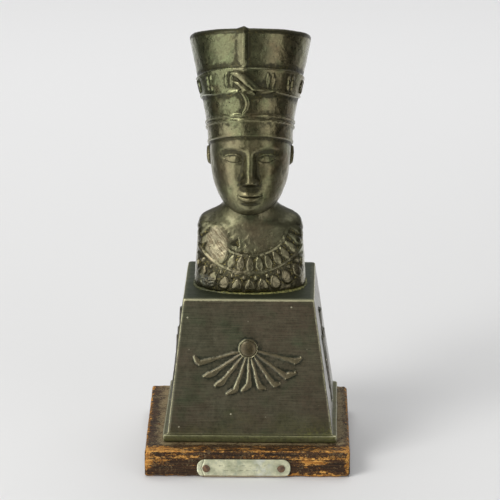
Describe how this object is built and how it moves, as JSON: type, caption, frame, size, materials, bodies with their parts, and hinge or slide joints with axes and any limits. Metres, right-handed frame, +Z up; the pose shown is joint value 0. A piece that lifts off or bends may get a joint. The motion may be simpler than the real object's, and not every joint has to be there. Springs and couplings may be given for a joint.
{
  "type": "queen statue",
  "caption": "Table-top bust of an ancient Egyptian queen in a tall flat-topped crown, dark metal casting on a tapered pedestal with a sun-disc relief, on a square worn wooden base.",
  "frame": {"origin": "centre of the wooden base's underside, on the surface that the statue stands on", "axes": "+Z up along the statue's height, -Y towards the side that the face looks to, +X to the right as seen from in front"},
  "size_m": [0.072, 0.0737, 0.1555],
  "materials": {
    "bust_metal": "dark olive-brown patina, semi-gloss, rubbed lighter and greener on high places",
    "pedestal_metal": "dark olive patina with reddish-brown and green clouds, faint level brush marks, satin",
    "base_wood": "black-brown stain worn through to orange bare wood at edges and corners",
    "plate_metal": "dull pale grey-green metal with scratches",
    "nail_metal": "dark brown with rust"
  },
  "bodies": {
    "root": {"bust": "bust_metal", "pedestal": "pedestal_metal", "wooden_base": "base_wood", "name_plate": "plate_metal", "nail_left": "nail_metal", "nail_right": "nail_metal"}
  },
  "joints": []
}
